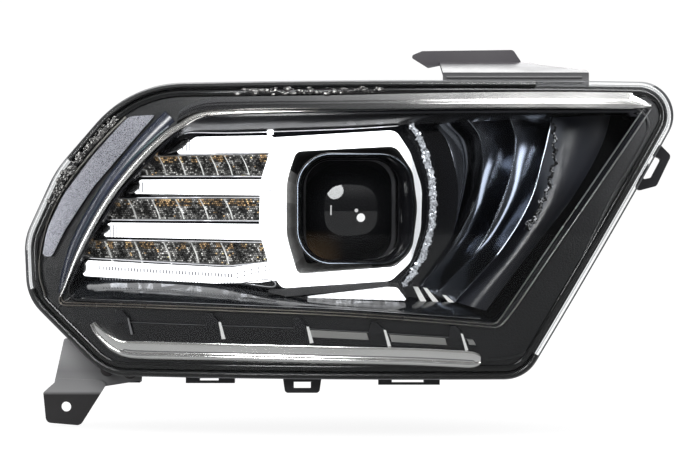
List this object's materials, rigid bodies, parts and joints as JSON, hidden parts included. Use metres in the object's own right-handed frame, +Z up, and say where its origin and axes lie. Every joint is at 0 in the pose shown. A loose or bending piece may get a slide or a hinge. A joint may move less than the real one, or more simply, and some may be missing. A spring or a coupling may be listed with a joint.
{
  "type": "car headlight",
  "caption": "Wrap-round car headlight assembly: clear cover over light bars, a halo ring and an aimable projector in a black housing with brackets, rear cap and connector.",
  "frame": {"origin": "centre of the lower bracket's bolt hole, on the bracket's front face", "axes": "+X along the lamp from its outboard wrap-round end to its inboard end, -Y the way the light leaves, +Z up"},
  "size_m": [0.5372, 0.2424, 0.3203],
  "materials": {
    "housing": "fine moulded texture",
    "sealant": "black butyl",
    "clear_lens": "clear hard-coated polycarbonate",
    "bezel_black": "fine grain",
    "flake_silver": "coarse silver flake",
    "satin_chrome": "satin champagne",
    "frame_black": "gloss",
    "inner_black": "gloss",
    "black_chrome": "black chrome",
    "marker_optic": "fluted",
    "shroud_black": "gloss",
    "light_guide": "milky white, lit",
    "guide_optic": "cut facets",
    "facet_chrome": "faceted",
    "mesh_chrome": "fine cell texture",
    "circuit_board": "solder mask",
    "bright_chrome": "bright",
    "reflector_grey": "satin",
    "bracket_paint": "satin grey coat",
    "clip_plastic": "moulded",
    "zinc_steel": "zinc plated",
    "connector_plastic": "moulded",
    "pin_brass": "tinned",
    "vent_rubber": "matt",
    "driver_case": "die cast",
    "projector_glass": "polished",
    "die_cast": "die cast",
    "bulb_ceramic": "matt",
    "bulb_glass": "clear",
    "solenoid": "wound coil in a can",
    "shutter_steel": "stamped",
    "frame_plastic": "glass filled",
    "nut_plastic": "natural",
    "cap_plastic": "moulded"
  },
  "bodies": {
    "housing": {"housing_shell": "housing", "lens_seal": "sealant", "outer_lens": "clear_lens", "outer_bezel": "bezel_black", "side_trim_band": "flake_silver", "upper_trim_strip": "satin_chrome", "window_frame": "frame_black", "inner_bezel": "inner_black", "outer_gill": "black_chrome", "middle_gill": "black_chrome", "inner_gill": "black_chrome", "side_marker_lens": "marker_optic", "projector_shroud": "shroud_black", "halo_light_guide": "light_guide", "upper_light_bar": "light_guide", "second_light_bar": "light_guide", "third_light_bar": "light_guide", "lower_light_bar": "light_guide", "outer_arc_guide": "guide_optic", "lower_wedge_guide": "guide_optic", "halo_inner_wall": "facet_chrome", "led_reflector_upper": "mesh_chrome", "led_reflector_middle": "mesh_chrome", "led_reflector_lower": "mesh_chrome", "led_boards": "circuit_board", "lower_blade": "bright_chrome", "blade_ribs": "bright_chrome", "blade_reflectors": "reflector_grey", "lower_bracket": "bracket_paint", "upper_bracket": "bracket_paint", "lens_clips": "clip_plastic", "bracket_screws": "zinc_steel", "connector_socket": "connector_plastic", "connector_pins": "pin_brass", "breather_vent": "vent_rubber", "led_driver": "driver_case"},
    "aim_frame": {"aim_frame": "frame_plastic"},
    "projector": {"projector_lens": "projector_glass", "lens_holder": "die_cast", "shutter_axle": "zinc_steel", "reflector_bowl": "bright_chrome", "bulb_retainer": "clip_plastic", "bulb_base": "bulb_ceramic", "bulb_capsule": "bulb_glass", "shutter_solenoid": "solenoid"},
    "shutter": {"cutoff_shutter": "shutter_steel"},
    "plunger": {"solenoid_plunger": "zinc_steel"},
    "height_nut": {"height_aim_nut": "nut_plastic"},
    "height_screw": {"height_aim_screw": "zinc_steel"},
    "side_nut": {"side_aim_nut": "nut_plastic"},
    "side_screw": {"side_aim_screw": "zinc_steel"},
    "rear_cap": {"rear_access_cap": "cap_plastic", "rear_cap_gasket": "vent_rubber"}
  },
  "joints": [
    {"name": "height_aim", "type": "hinge", "parent": "housing", "child": "aim_frame", "pos_m": [0.24, 0.005, 0.166], "axis": [1, 0, 0], "range_deg": [-3, 3]},
    {"name": "side_aim", "type": "hinge", "parent": "aim_frame", "child": "projector", "pos_m": [0.24, 0.005, 0.166], "axis": [0, 0, 1], "range_deg": [-3, 3]},
    {"name": "shutter_flip", "type": "hinge", "parent": "projector", "child": "shutter", "pos_m": [0.24, -0.005, 0.144], "axis": [1, 0, 0], "range_deg": [0, 30]},
    {"name": "plunger_slide", "type": "slide", "parent": "projector", "child": "plunger", "axis": [0, 1, 0], "range_m": [0, 0.005], "stiffness_N_per_m": 22},
    {"name": "height_nut_slide", "type": "slide", "parent": "housing", "child": "height_nut", "axis": [0, 1, 0], "range_m": [-0.0034, 0.0034]},
    {"name": "height_screw_turn", "type": "hinge", "parent": "housing", "child": "height_screw", "pos_m": [0.21, 0.07, 0.102], "axis": [0, 1, 0], "range_deg": [-310, 310]},
    {"name": "side_nut_slide", "type": "slide", "parent": "housing", "child": "side_nut", "axis": [0, 1, 0], "range_m": [-0.0028, 0.0028]},
    {"name": "side_screw_turn", "type": "hinge", "parent": "housing", "child": "side_screw", "pos_m": [0.292, 0.07, 0.166], "axis": [0, 1, 0], "range_deg": [-250, 250]},
    {"name": "cap_pull", "type": "slide", "parent": "housing", "child": "rear_cap", "axis": [0, 1, 0], "range_m": [0, 0.05]}
  ],
  "couplings": [
    {"joint": "height_nut_slide", "follows": "height_aim", "m_per_rad": 0.064},
    {"joint": "height_screw_turn", "follows": "height_aim", "ratio": 100.53},
    {"joint": "side_nut_slide", "follows": "side_aim", "m_per_rad": 0.052},
    {"joint": "side_screw_turn", "follows": "side_aim", "ratio": 81.681},
    {"joint": "shutter_flip", "follows": "plunger_slide", "rad_per_m": 104.7}
  ]
}
